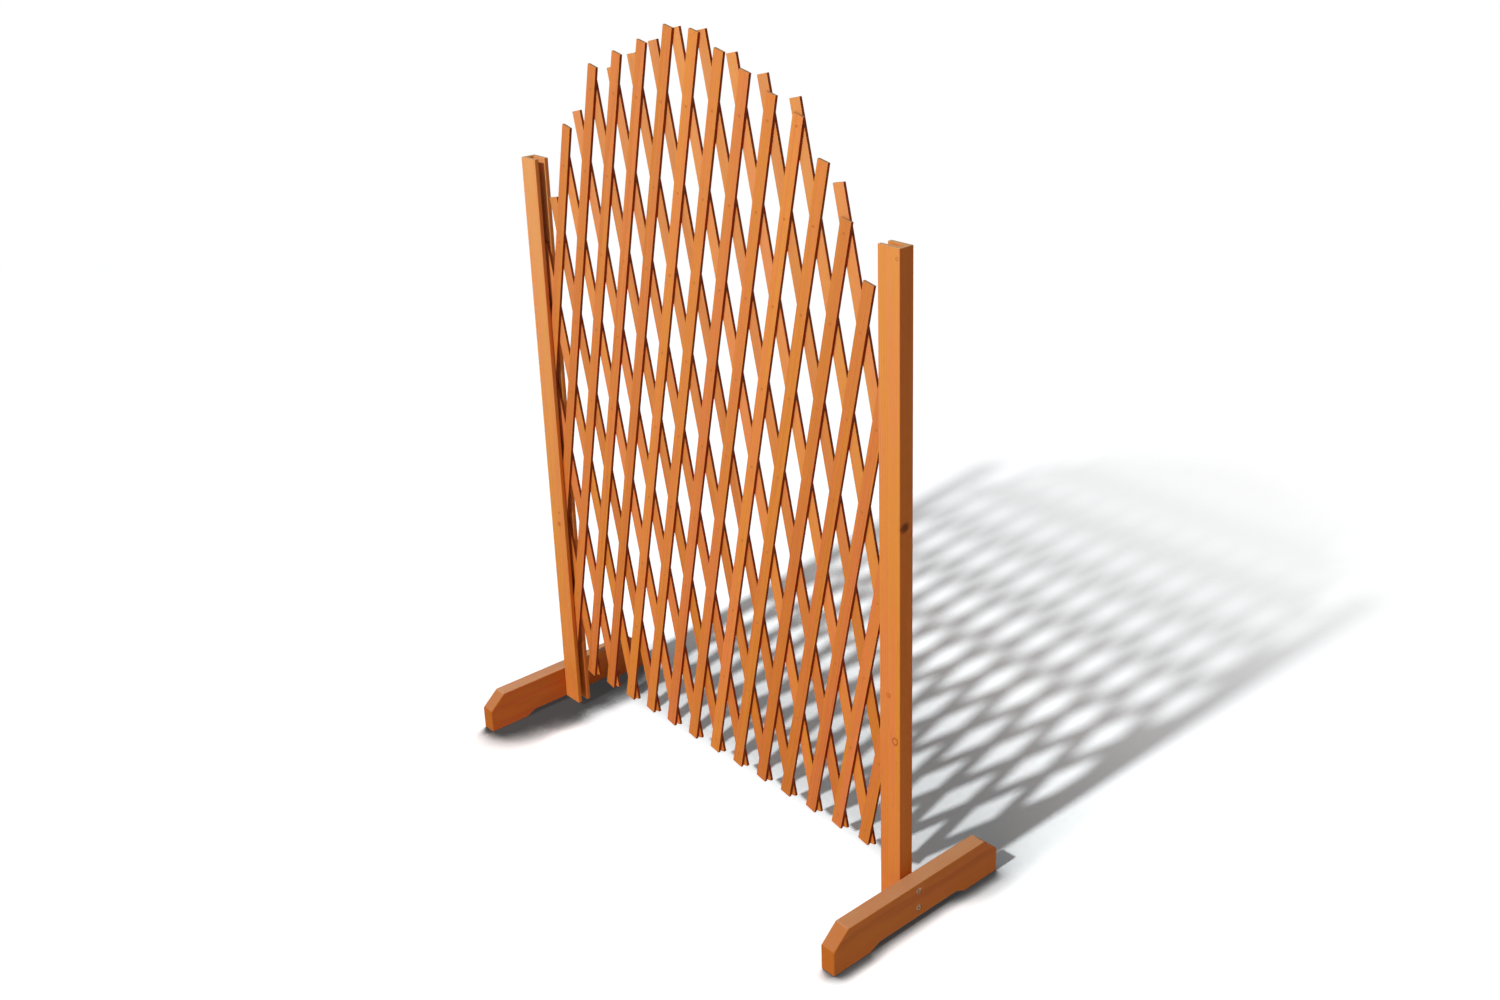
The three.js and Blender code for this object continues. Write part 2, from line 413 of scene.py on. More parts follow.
def knotMarks(tree, knots):
    # how far the knots push the year rings aside, their dark hearts, and the fainter ring of a sound knot
    here = placeOn(tree)
    rough = noise(tree, here, "knot")
    ripple = sums(tree, "MULTIPLY_ADD", rough, knotReach["ripple"], -0.5 * knotReach["ripple"])
    push = heart = ring = 0.0
    for kind, place, turn, size in knots:
        frameOfKnot = tree.nodes.new("ShaderNodeMapping")
        frameOfKnot.vector_type = "TEXTURE"
        plug(tree, frameOfKnot.inputs["Vector"], here)
        frameOfKnot.inputs["Location"].default_value = place
        frameOfKnot.inputs["Rotation"].default_value = [math.radians(angle) for angle in turn]
        frameOfKnot.inputs["Scale"].default_value = size
        away = vectorSums(tree, "LENGTH", frameOfKnot.outputs[0], out=1)
        away = sums(tree, "ADD", away, ripple)
        push = sums(tree, "ADD", push, eased(tree, away, *knotReach["push"]))
        if kind == "dark":
            heart = sums(tree, "ADD", heart, eased(tree, away, *knotReach["heart"]), clamp=True)
        else:
            inside = eased(tree, away, *knotReach["ringInside"])
            band = sums(tree, "MULTIPLY", inside, eased(tree, away, *knotReach["ringOutside"]))
            ring = sums(tree, "ADD", ring, band, clamp=True)
    return push, heart, ring


def lateWood(tree, wood, grain, push):
    # year rings round the pith, bent by a slow wander along the board and by the knots
    wander = sums(tree, "SUBTRACT", noise(tree, grain, "wander"), 0.5)
    radius = vectorSums(tree, "LENGTH", vectorSums(tree, "MULTIPLY", grain, (1, 1, 0)), out=1)
    radius = sums(tree, "MULTIPLY_ADD", wander, wood["wander"], radius)
    radius = sums(tree, "MULTIPLY_ADD", push, wood["knotPush"], radius)
    rings = sums(tree, "DIVIDE", radius, wood["ringSpacing"])
    part = sums(tree, "FRACT", rings)
    rise = eased(tree, part, wood["lateFrom"], wood["latePeak"])
    late = sums(tree, "MULTIPLY", rise, eased(tree, part, 1.0, wood["latePeak"]))
    year = randomFor(tree, sums(tree, "FLOOR", rings))
    year = sums(tree, "MULTIPLY_ADD", year, 1 - wood["lateLeast"], wood["lateLeast"])
    return sums(tree, "MULTIPLY", late, year)


def takenStain(tree, wood, grain, late, fibre, streak, blotch):
    # pinker and yellower in streaks, deeper in the late wood, with short dark resin flecks
    tone = kept(tree, "tone")
    hue = sums(tree, "MULTIPLY_ADD", randomFor(tree, tone), wood["hueDepth"], -0.5 * wood["hueDepth"])
    pinker = eased(tree, sums(tree, "ADD", streak, hue), *wood["pinkSpan"])
    colour = mixed(tree, pinker, wood["yellow"], wood["pink"])
    depth = sums(tree, "MULTIPLY", late, wood["ringDepth"])
    depth = sums(tree, "MULTIPLY_ADD", sums(tree, "SUBTRACT", fibre, 0.5), wood["fibreDepth"], depth)
    depth = sums(tree, "MULTIPLY_ADD", sums(tree, "SUBTRACT", blotch, 0.5), wood["blotchDepth"], depth)
    depth = sums(tree, "MULTIPLY_ADD", tone, wood["toneDepth"], depth)
    colour = mixed(tree, sums(tree, "ADD", depth, wood["evenDepth"], clamp=True), colour, wood["deep"])
    fleck = eased(tree, noise(tree, grain, "fleck"), *wood["fleckSpan"])
    return mixed(tree, sums(tree, "MULTIPLY", fleck, wood["fleckDepth"]), colour, wood["knotRing"])


def paintedSheenAbove(tree, wood, colour, blotch):
    # painted sheen: paler towards the top, partly following the blotches
    sheenShare = eased(tree, parts(tree, placeOn(tree))["Z"], *wood["paintedSheenHeights"])
    sheenShare = sums(tree, "MULTIPLY", sheenShare, wood["paintedSheenDepth"])
    sheenShare = sums(tree, "MULTIPLY", sheenShare, sums(tree, "MULTIPLY_ADD", blotch, *wood["paintedSheenPatches"]))
    return mixed(tree, sheenShare, colour, wood["paintedSheen"])


def sawnAndWorn(tree, wood, colour, grain, late, streak):
    # darker and redder on the narrow sides; the stain is thin along the arrises and greys on a sawn end
    side = kept(tree, "narrowSide")
    if wood["sideDepth"]:
        leastSideShare = wood["sideDepth"] - wood["sideStreaks"] / 2
        sideShare = sums(tree, "MULTIPLY_ADD", streak, wood["sideStreaks"], leastSideShare)
        colour = mixed(tree, sums(tree, "MULTIPLY", side, sideShare), colour, wood["side"])
    rub = eased(tree, noise(tree, grain, "rub"), *wood["wornSpan"])
    rub = sums(tree, "MULTIPLY", rub, kept(tree, "wear"))
    rub = sums(tree, "MULTIPLY", rub, sums(tree, "MULTIPLY_ADD", side, -wood["wornDepth"], wood["wornDepth"]))
    colour = mixed(tree, rub, colour, wood["worn"])
    greyed = sums(tree, "MULTIPLY_ADD", late, -wood["cutEndRings"], wood["cutEndDepth"])
    return mixed(tree, sums(tree, "MULTIPLY", kept(tree, "cutEnd"), greyed), colour, wood["cutEnd"])


def dustAndSheen(tree, wood, colour, blotch, dustAndSheenShare):
    # dust with painted sheen: paler on the faces that look up
    lying = eased(tree, parts(tree, placeOn(tree, "Normal"))["Z"], *wood["dustAndSheenLevel"])
    lying = sums(tree, "MULTIPLY", lying, dustAndSheenShare)
    patches = sums(tree, "MULTIPLY_ADD", blotch, *wood["dustAndSheenPatches"])
    return mixed(tree, sums(tree, "MULTIPLY", lying, patches, clamp=True), colour, wood["dustAndSheenColour"])


def woodSurface(tree, wood, shader, late, fibre, streak):
    rough = sums(tree, "MULTIPLY_ADD", fibre, wood["fibreRoughness"], wood["roughness"])
    rough = sums(tree, "MULTIPLY_ADD", kept(tree, "cutEnd"), wood["cutEndRoughness"], rough, clamp=True)
    plug(tree, shader.inputs["Roughness"], rough)
    shader.inputs["Specular IOR Level"].default_value = wood["shine"]
    relief = sums(tree, "MULTIPLY", fibre, wood["fibreRelief"])
    relief = sums(tree, "MULTIPLY_ADD", late, wood["lateRelief"], relief)
    relief = sums(tree, "MULTIPLY_ADD", streak, wood["streakRelief"], relief)
    bump = tree.nodes.new("ShaderNodeBump")
    bump.inputs["Strength"].default_value = wood["reliefStrength"]
    bump.inputs["Distance"].default_value = wood["relief"]
    plug(tree, bump.inputs["Height"], relief)
    plug(tree, shader.inputs["Normal"], bump.outputs["Normal"])


def stainedWood(name, look=None, knots=(), dustAndSheenShare=0.0):
    wood = {**stain, **(look or {})}
    made, tree, shader = newMaterial(name)
    grain = kept(tree, "grain", "Vector")
    push, heart, ring = knotMarks(tree, knots) if knots else (0.0, 0.0, 0.0)
    late = lateWood(tree, wood, grain, push)
    fibre, streak, blotch = (noise(tree, grain, name) for name in ("fibre", "streak", "blotch"))
    colour = takenStain(tree, wood, grain, late, fibre, streak, blotch)
    colour = paintedSheenAbove(tree, wood, colour, blotch)
    colour = sawnAndWorn(tree, wood, colour, grain, late, streak)
    if knots:
        colour = mixed(tree, sums(tree, "MULTIPLY", ring, wood["knotRingDepth"]), colour, wood["knotRing"])
        colour = mixed(tree, sums(tree, "MULTIPLY", heart, wood["knotDepth"]), colour, wood["knot"])
    if dustAndSheenShare:
        colour = dustAndSheen(tree, wood, colour, blotch, dustAndSheenShare)
    plug(tree, shader.inputs["Base Color"], colour)
    woodSurface(tree, wood, shader, late, fibre, streak)
    return made


# Fasteners: dull zinc under whatever stain has stayed on them
steel = {
    "coverSpan": (0.62, 0.74),  # patch levels between which zinc passes to film, at a cover of 0
    "coverShift": 0.5,  # how far a cover of 1 brings them down
    "speckleShade": 0.65,
    "bareMetallic": 0.88,
    "coverDulls": 0.85,
    "roughness": 0.4,
    "speckleRoughness": 0.2,
    "shine": 0.2,
}
rivetLook = {
    "zinc": (0.36, 0.26, 0.16),
    "film": (0.60, 0.165, 0.022),
    "cover": 0.85,
}
screwLook = {
    "zinc": (0.78, 0.53, 0.33),
    "film": (0.42, 0.19, 0.08),
    "cover": 0.5,
}


def stainedSteel(name, look):
    made, tree, shader = newMaterial(name)
    here = placeOn(tree)
    span = [level - steel["coverShift"] * look["cover"] for level in steel["coverSpan"]]
    covered = eased(tree, noise(tree, here, "zincPatch"), *span)
    speckle = noise(tree, here, "zincSpeckle")
    metal = mixed(tree, speckle, tuple(steel["speckleShade"] * x for x in look["zinc"]), look["zinc"])
    metallic = sums(tree, "MULTIPLY_ADD", covered, -steel["coverDulls"], steel["bareMetallic"])
    rough = sums(tree, "MULTIPLY_ADD", speckle, steel["speckleRoughness"], steel["roughness"])
    plug(tree, shader.inputs["Base Color"], mixed(tree, covered, metal, look["film"]))
    plug(tree, shader.inputs["Metallic"], metallic)
    plug(tree, shader.inputs["Roughness"], rough)
    shader.inputs["Specular IOR Level"].default_value = steel["shine"]
    return made


rivetSteel = stainedSteel("rivet_steel", rivetLook)
screwSteel = stainedSteel("screw_steel", screwLook)
print("steel finished")

# Slats
slat = {
    "width": 0.0185,
    "thickness": 0.004,
    "rim": 0.0011,  # border along the arrises
    "easedEdge": 0.0002,
    "easedSteps": 2,
    "stations": 7,  # cuts along a slat that let it bow
    "bow": 0.0004,
    "sawSlip": 0.0005,  # how far a sawn end runs out of square
    "drillRadius": 0.0018,
    "drillSides": 12,
    "dimpleRadius": 0.0023,
    "dimpleDepth": 0.0003,
    "dimpleStep": 0.0001,
}
frontSlatLook = {"sideDepth": 0.9}
backSlatLook = {"sideDepth": 0.9, "paintedSheenDepth": 0.42, "paintedSheen": (0.82, 0.41, 0.17)}
slatWoods = {
    "front": stainedWood("front_slat_stain", frontSlatLook),
    "back": stainedWood("back_slat_stain", backSlatLook),
}
# A pin ties the slats to each post at one crossing. Rivets, pins, screws and drills are given by radius
pin = {
    "shank": 0.002,
    "hole": 0.0023,
    "head": 0.0036,
    "headProfile": ((1.0, 0.3), (0.8, 0.7), (0.4, 0.92)),
    "endChamfer": 0.0003,
    "seatGap": 0.0001,
    "sides": 20,
    "drillSides": 16,
    "drillReach": 0.03,
}


def jointPlace(name):
    return Vector(next(joint["pos_m"] for joint in frame["joints"] if joint["name"] == name))


def leanOfSlats():
    # two pivots on one front slat
    run = jointPlace("pivot_back_slat_07") - jointPlace("pivot_back_slat_01")
    return math.atan2(run.x, run.z)


lean = leanOfSlats()
pinPlaces = [jointPlace("panel_spread"), jointPlace("right_stand_pivot")]


def slatPlacing(node):
    # middle, length and lean of a slat, worked out from its box
    low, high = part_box(node)
    side = 1 if node.startswith("front") else -1
    length = (high.z - low.z - slat["width"] * math.sin(lean)) / math.cos(lean)
    middle = (low + high) / 2
    middle.y = low.y + slat["thickness"] / 2
    return {"middle": middle, "length": length, "lean": side * lean}


def slatMatrix(placing):
    return Matrix.Translation(placing["middle"]) @ Matrix.Rotation(placing["lean"], 4, "Y")


def slatStock():
    # one metre of slat, eased and with a border on each face, that every slat is cut from
    nothingSelected()
    bpy.ops.mesh.primitive_cube_add(size=1, scale=(slat["width"], slat["thickness"], 1))
    stock = bpy.context.object
    bpy.ops.object.transform_apply(location=True, rotation=True, scale=True)
    bpy.ops.object.mode_set(mode="EDIT")
    bpy.ops.mesh.select_all(action="SELECT")
    bpy.ops.mesh.inset(thickness=slat["rim"], use_individual=True)
    bpy.ops.object.mode_set(mode="OBJECT")
    softenEdges(stock, slat["easedEdge"], slat["easedSteps"])
    return stock


def cutToLength(stock, name, length, draw):
    board = copyPiece(stock, name)
    workOn(board)
    bpy.ops.object.mode_set(mode="EDIT")
    for end in (-1, 1):
        pickPoints(board, lambda place: place.z * end > 0)
        bpy.ops.transform.translate(value=(0, 0, end * (length - 1) / 2))
    for station in range(1, slat["stations"] + 1):
        cutAt((0, 0, length * (station / (slat["stations"] + 1) - 0.5)), (0, 0, 1))
    bpy.ops.object.mode_set(mode="OBJECT")
    swing = draw.uniform(-1, 1) * slat["bow"]
    slip = {end: draw.uniform(-1, 1) * slat["sawSlip"] for end in (-1, 1)}
    for point in board.data.vertices:
        across = point.co.x / slat["width"]
        along = 2 * point.co.z / length
        if abs(point.co.z) > length / 2 - 2 * slat["rim"]:
            point.co.z += slip[1 if point.co.z > 0 else -1] * across
        point.co.x += swing * (1 - along * along)
    return board


def crossingOf(frontPlacing, backPlacing):
    # where the middle lines of a front and a back slat cross, or None
    gap = backPlacing["middle"] - frontPlacing["middle"]
    across, up = gap.x / math.sin(lean), gap.z / math.cos(lean)
    onFront, onBack = (across + up) / 2, (across - up) / 2
    if abs(onFront) > frontPlacing["length"] / 2 or abs(onBack) > backPlacing["length"] / 2:
        return None
    along = Vector((math.sin(lean), 0, math.cos(lean)))
    place = frontPlacing["middle"] + onFront * along
    place.y = 0
    return place


placings = {n: slatPlacing(n) for n in sorted(frame["nodes"]) if "_slat_" in n}
frontSlats = [n for n in placings if n.startswith("front")]
backSlats = [n for n in placings if n.startswith("back")]
rivetPlaces = {n: [] for n in placings}
pinned = {}
for frontSlat in frontSlats:
    for backSlat in backSlats:
        place = crossingOf(placings[frontSlat], placings[backSlat])
        if place is None:
            continue
        if min((place - Vector((onPost.x, 0, onPost.z))).length for onPost in pinPlaces) < nearEnough:
            pinned[frontSlat] = pinned[backSlat] = place
            continue
        rivetPlaces[frontSlat].append(place)
        rivetPlaces[backSlat].append(place)
print("crossings found:", sum(len(rivetPlaces[n]) for n in frontSlats))

# A turned piece stands on Z, and this lays it towards the front
upToFront = Matrix.Rotation(math.radians(90), 4, "X")


def slatDrills():
    # a drill that also sinks a dimple for a rivet's head, a plain one, and a wider one for a post pin
    past = 2 * slat["thickness"]
    face = slat["thickness"] / 2
    shapes = {
        "dimpled": [
            (slat["drillRadius"], -past),
            (slat["drillRadius"], face - slat["dimpleDepth"]),
            (slat["dimpleRadius"], face + slat["dimpleStep"]),
            (slat["dimpleRadius"], past),
        ],
        "plain": [(slat["drillRadius"], -past), (slat["drillRadius"], past)],
        "wide": [(pin["hole"], -past), (pin["hole"], past)],
    }
    made = {}
    for name, rings in shapes.items():
        made[name] = turnedPiece(name + "_drill", rings, slat["drillSides"])
        made[name].data.transform(upToFront)
    return made


def dress(piece, body, node, material, smooth):
    piece.data.materials.clear()
    piece.data.materials.append(material)
    shadeByAngle(piece, smooth)
    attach(piece, body)
    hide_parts(node)


def makeSlat(node, layer, stock, drills):
    draw = random.Random(node)
    placing = placings[node]
    board = cutToLength(stock, node + "_board", placing["length"], draw)
    edges = edgePlaces(board)
    toOwn = slatMatrix(placing).inverted()
    kind = "dimpled" if layer == "front" else "plain"
    holes = [(kind, place) for place in rivetPlaces[node]]
    if node in pinned:
        holes.append(("wide", pinned[node]))
    cutters = []
    for hole, place in holes:
        own = toOwn @ place
        cutters.append(copyPiece(drills[hole], "drill", Matrix.Translation((own.x, 0, own.z))))
    cutAway(board, joinPieces(cutters, "drills"))
    giveGrain(board, Matrix.Identity(3), edges, draw, log["slatPith"])
    board.data.transform(slatMatrix(placing))
    dress(board, node, node, slatWoods[layer], angles["shadedBoard"])


slatBlank = slatStock()
drills = slatDrills()
for layer, nodes in (("front", frontSlats), ("back", backSlats)):
    for node in nodes:
        makeSlat(node, layer, slatBlank, drills)
for leftover in (slatBlank, *drills.values()):
    bpy.data.objects.remove(leftover)
print("slats sawn and drilled:", len(placings))

# Rivets: a small domed head sunk in the front, and a peened head behind
rivet = {
    "sides": 12,
    "layerGap": 0.00015,  # half the gap between the two layers of slats
    "shank": 0.0014,
    "head": 0.00195,
    "headProud": 0.00022,
    "headProfile": ((0.75, 0.7), (0.3, 1.0)),
    "headRim": 0.0001,  # how far the head's rim lies below the slat's face
    "headNeck": 0.0006,  # and the end of the shank under it
    "peen": 0.0026,
    "peenProud": 0.00056,
    "peenProfile": ((0.4, 1.0), (0.8, 0.8), (1.0, 0.35)),
    "peenGap": 0.00006,
}


def domed(profile, radius, base, proud):
    # rings of a rounded head, from a profile in shares of its radius and of how far it stands proud
    return [(across * radius, base + rise * proud) for across, rise in profile]


def makeRivet():
    face = slat["thickness"] + rivet["layerGap"]
    rings = domed(rivet["peenProfile"], rivet["peen"], -face, -rivet["peenProud"])
    rings += [
        (rivet["peen"], -face - rivet["peenGap"]),
        (rivet["shank"], -face - rivet["peenGap"]),
        (rivet["shank"], face - rivet["headNeck"]),
        (rivet["head"], face - rivet["headRim"]),
    ]
    rings += domed(rivet["headProfile"], rivet["head"], face, rivet["headProud"])
    made = turnedPiece("rivet", rings, rivet["sides"])
    made.data.transform(upToFront)
    made.data.materials.append(rivetSteel)
    return made


rivetModel = makeRivet()
for node in frontSlats:
    copies = [copyPiece(rivetModel, "rivet", Matrix.Translation(place)) for place in rivetPlaces[node]]
    rivets = joinPieces(copies, node + "_rivets")
    shadeByAngle(rivets, angles["shadedRivet"])
    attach(rivets, node)
bpy.data.objects.remove(rivetModel)
print("rivets set")


# Posts, feet and screws are made for the left stand, and the right one is the same turned half round
post = {
    "web": 0.007,
    "groove": 0.0103,
    "rim": 0.0018,
    "easedEdge": 0.0006,
    "easedSteps": 3,
}


def turnedRound(piece, name):
    return copyPiece(piece, name, Matrix.Rotation(math.pi, 4, "Z"))


def borderFaces(piece, rim):
    workOn(piece)
    bpy.ops.object.mode_set(mode="EDIT")
    bpy.ops.mesh.select_all(action="SELECT")
    bpy.ops.mesh.dissolve_limited(angle_limit=math.radians(angles["flat"]))
    bpy.ops.mesh.select_all(action="SELECT")
    bpy.ops.mesh.normals_make_consistent(inside=False)
    bpy.ops.mesh.inset(thickness=rim, use_individual=True)
    bpy.ops.object.mode_set(mode="OBJECT")


def inGroove(place, low):
    return place.x > low.x + post["web"] and abs(place.y) < post["groove"] / 2


def modelPost():
    low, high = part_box("left_post")
    size = high - low
    nothingSelected()
    bpy.ops.mesh.primitive_plane_add(size=1, location=((low.x + high.x) / 2, 0, low.z))
    board = bpy.context.object
    board.scale = (size.x, size.y, 1)
    bpy.ops.object.transform_apply(location=True, rotation=True, scale=True)
    bpy.ops.object.mode_set(mode="EDIT")
    cutAt((low.x + post["web"], 0, low.z), (1, 0, 0))
    for side in (-1, 1):
        cutAt((0, side * post["groove"] / 2, low.z), (0, 1, 0))
    pickFaces(board, lambda face: inGroove(face.calc_center_median(), low))
    bpy.ops.mesh.delete(type="FACE")
    bpy.ops.mesh.select_all(action="SELECT")
    bpy.ops.mesh.extrude_region_move(TRANSFORM_OT_translate={"value": (0, 0, size.z)})
    bpy.ops.object.mode_set(mode="OBJECT")
    borderFaces(board, post["rim"])
    softenEdges(board, post["easedEdge"], post["easedSteps"])
    return board


foot = {
    "chamferLength": 0.0265,
    "chamferDrop": 0.0235,
    "padLength": 0.065,
    "rampLength": 0.017,
    "archRise": 0.0075,
    "rim": 0.002,
    "easedEdge": 0.0011,
    "easedSteps": 3,
}
screw = {
    "sides": 20,
    "tip": 0.0002,
    "tipLength": 0.0034,
    "root": 0.0016,
    "shank": 0.00225,
    "plainShank": 0.004,
    "threadPitch": 0.0017,
    "threads": 9,
    "head": 0.005,
    "headDepth": 0.0028,
    "headRim": 0.0003,
    "headChamfer": 0.0002,
    "crown": 0.0002,
    "crownShare": 0.6,
    "crossWidth": 0.0012,
    "crossLength": 0.0054,
    "crossDepth": 0.0016,
    "crossTaper": 0.55,
    "drillSides": 16,
    "clearance": 0.0003,
    "drillPast": 0.003,
}


def modelFoot():
    low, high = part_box("left_foot")
    middle = (low + high) / 2
    half = high.y
    nothingSelected()
    bpy.ops.mesh.primitive_cube_add(size=1, location=middle, scale=high - low)
    board = bpy.context.object
    bpy.ops.object.transform_apply(location=True, rotation=True, scale=True)
    bpy.ops.object.mode_set(mode="EDIT")
    for end in (-1, 1):
        slope = (0, end * foot["chamferDrop"], foot["chamferLength"])
        cutAt((middle.x, end * (half - foot["chamferLength"]), high.z), slope, takeOff=True)
    pad = half - foot["padLength"]
    arch = pad - foot["rampLength"]
    for place in (-pad, -arch, arch, pad):
        cutAt((middle.x, place, 0), (0, 1, 0))
    pickPoints(board, lambda place: place.z < nearEnough and abs(place.y) < arch + nearEnough)
    bpy.ops.transform.translate(value=(0, 0, foot["archRise"]))
    bpy.ops.object.mode_set(mode="OBJECT")
    borderFaces(board, foot["rim"])
    softenEdges(board, foot["easedEdge"], foot["easedSteps"])
    return board


def screwRings(length, extra):
    # from the point up to the head, or the same without its thread for the drill
    top = length - screw["headDepth"]
    rings = [(screw["tip"] + extra, 0.0), (screw["root"] + extra, screw["tipLength"])]
    if not extra:
        for turn in range(screw["threads"]):
            base = screw["tipLength"] + turn * screw["threadPitch"]
            rings += [
                (screw["root"], base + 0.25 * screw["threadPitch"]),
                (screw["shank"], base + 0.5 * screw["threadPitch"]),
                (screw["root"], base + 0.75 * screw["threadPitch"]),
            ]
    rings += [
        (screw["shank"] + extra, top - screw["plainShank"]),
        (screw["shank"] + extra, top),
        (screw["head"] + extra, length - screw["headRim"]),
        (screw["head"] + extra - screw["headChamfer"], length),
    ]
    if extra:
        rings.append((screw["head"] + extra, length + screw["drillPast"]))
    else:
        rings.append((screw["crownShare"] * screw["head"], length + screw["crown"]))
    return rings


def modelScrew(length):
    made = turnedPiece("screw", screwRings(length, 0), screw["sides"])
    size = (screw["crossLength"], screw["crossWidth"], 2 * screw["crossDepth"])
    taper = (screw["crossTaper"], screw["crossTaper"], 1)
    for turn in (0, 90):
        nothingSelected()
        bpy.ops.mesh.primitive_cube_add(size=1, location=(0, 0, length + screw["crown"]), scale=size)
        bar = bpy.context.object
        bar.rotation_euler.z = math.radians(turn)
        bpy.ops.object.transform_apply(location=True, rotation=True, scale=True)
        bpy.ops.object.mode_set(mode="EDIT")
        pickPoints(bar, lambda place: place.z < length)
        bpy.ops.transform.resize(value=taper, center_override=(0, 0, length - screw["crossDepth"]))
        bpy.ops.object.mode_set(mode="OBJECT")
        cutAway(made, bar)
    return made


def screwLaying(node):
    # a screw's own Z runs out of the post to its head, which is -X on the left stand
    low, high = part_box(node)
    middle = (low + high) / 2
    return Matrix.Translation((high.x, middle.y, middle.z)) @ Matrix.Rotation(math.radians(-90), 4, "Y")


leftScrews = {place: f"left_{place}_foot_screw" for place in ("lower", "upper")}
screwLow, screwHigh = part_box(leftScrews["lower"])
screwLength = screwHigh.x - screwLow.x
postBoard = modelPost()
footBoard = modelFoot()
screwModel = modelScrew(screwLength)

postEdges, footEdges = edgePlaces(postBoard), edgePlaces(footBoard)
screwDrill = turnedPiece("screw_drill", screwRings(screwLength, screw["clearance"]), screw["drillSides"])
pinDrillRings = [(pin["hole"], -pin["drillReach"]), (pin["hole"], pin["drillReach"])]
pinDrill = turnedPiece("pin_drill", pinDrillRings, pin["drillSides"])
pinDrill.data.transform(Matrix.Translation(pinPlaces[0]) @ upToFront)
cutAway(postBoard, pinDrill)
for place, node in leftScrews.items():
    for board in (postBoard, footBoard):
        cutAway(board, copyPiece(screwDrill, "drill", screwLaying(node)))
bpy.data.objects.remove(screwDrill)

# board axes: across, through and along the grain
alongUp = Matrix.Identity(3)
alongFoot = Matrix(((0, 0, 1), (1, 0, 0), (0, 1, 0)))
# Knots: kind, place, turn in degrees, and half sizes
rightPostKnots = [
    ("dark", (0.3838, -0.0026, 0.5632), (14, 0, 0), (0.006, 0.0085, 0.0072)),
    ("ring", (0.3753, -0.0115, 0.2644), (0, 20, 0), (0.0042, 0.006, 0.0050)),
    ("ring", (0.3791, -0.0115, 0.8987), (0, 0, 0), (0.0015, 0.004, 0.0019)),
    ("dark", (0.3700, 0.0115, 0.7010), (0, -15, 0), (0.0032, 0.006, 0.0042)),
]
leftPostKnots = [
    ("ring", (-0.3614, -0.0115, 0.3470), (0, 70, 0), (0.0016, 0.004, 0.0030)),
    ("dark", (-0.3838, 0.0020, 0.7350), (-20, 0, 0), (0.006, 0.0040, 0.0048)),
    ("ring", (-0.3700, 0.0115, 0.4120), (0, 10, 0), (0.0040, 0.006, 0.0050)),
]
footKnots = [
    ("ring", (0.3841, 0.0930, 0.0330), (0, 0, 0), (0.004, 0.0060, 0.0044)),
    ("dark", (-0.4076, -0.0610, 0.0270), (10, 0, 0), (0.004, 0.0050, 0.0036)),
]
postLook = {
    "side": (0.72, 0.150, 0.012),
    "sideDepth": 0.65,
    "cutEnd": (0.80, 0.50, 0.25),
    "paintedSheen": (0.86, 0.43, 0.17),
    "paintedSheenDepth": 0.32,
    "ringSpacing": 0.0038,
}
leftPostLook = {
    **postLook,
    "yellow": (0.79, 0.31, 0.034),
    "pink": (0.82, 0.262, 0.068),
    "paintedSheen": (0.90, 0.50, 0.23),
    "paintedSheenDepth": 0.48,
    "toneDepth": 0.0,
}
postWoods = {
    "left": stainedWood("left_post_stain", leftPostLook, leftPostKnots),
    "right": stainedWood("right_post_stain", postLook, rightPostKnots),
}
footLook = {
    "yellow": (0.66, 0.183, 0.024),
    "pink": (0.68, 0.155, 0.034),
    "deep": (0.36, 0.070, 0.008),
    "cutEnd": (0.50, 0.140, 0.016),
    "ringSpacing": 0.004,
    "blotchDepth": 0.7,
}
footWoods = {
    "left": stainedWood("left_foot_stain", {**footLook, "dustAndSheenColour": (0.88, 0.49, 0.26)}, footKnots, dustAndSheenShare=0.8),
    "right": stainedWood("right_foot_stain", footLook, footKnots, dustAndSheenShare=0.75),
}

rightPost = turnedRound(postBoard, "right_post_board")
postBoard.name = postBoard.data.name = "left_post_board"
rightFoot = turnedRound(footBoard, "right_foot_board")
footBoard.name = footBoard.data.name = "left_foot_board"


def turnedEdges(edges):
    return {(-x, -y, z) for x, y, z in edges}


for side, postPiece, footPiece, edgesOfPost, edgesOfFoot in (
    ("left", postBoard, footBoard, postEdges, footEdges),
    ("right", rightPost, rightFoot, turnedEdges(postEdges), turnedEdges(footEdges)),
):
    body = side + "_stand"
    giveGrain(postPiece, alongUp, edgesOfPost, random.Random(side + " post"), log["postPith"])
    dress(postPiece, body, side + "_post", postWoods[side], angles["shadedBoard"])
    giveGrain(footPiece, alongFoot, edgesOfFoot, random.Random(side + " foot"), log["footPith"])
    dress(footPiece, body, side + "_foot", footWoods[side], angles["shadedBoard"])
print("posts and feet made")

for place, node in leftScrews.items():
    leftScrew = copyPiece(screwModel, f"left_{place}_screw", screwLaying(node))
    rightScrew = turnedRound(leftScrew, f"right_{place}_screw")
    rightNode = node.replace("left", "right")
    dress(leftScrew, "left_stand", node, screwSteel, angles["shadedFastener"])
    dress(rightScrew, "right_stand", rightNode, screwSteel, angles["shadedFastener"])
bpy.data.objects.remove(screwModel)
print("screws driven")


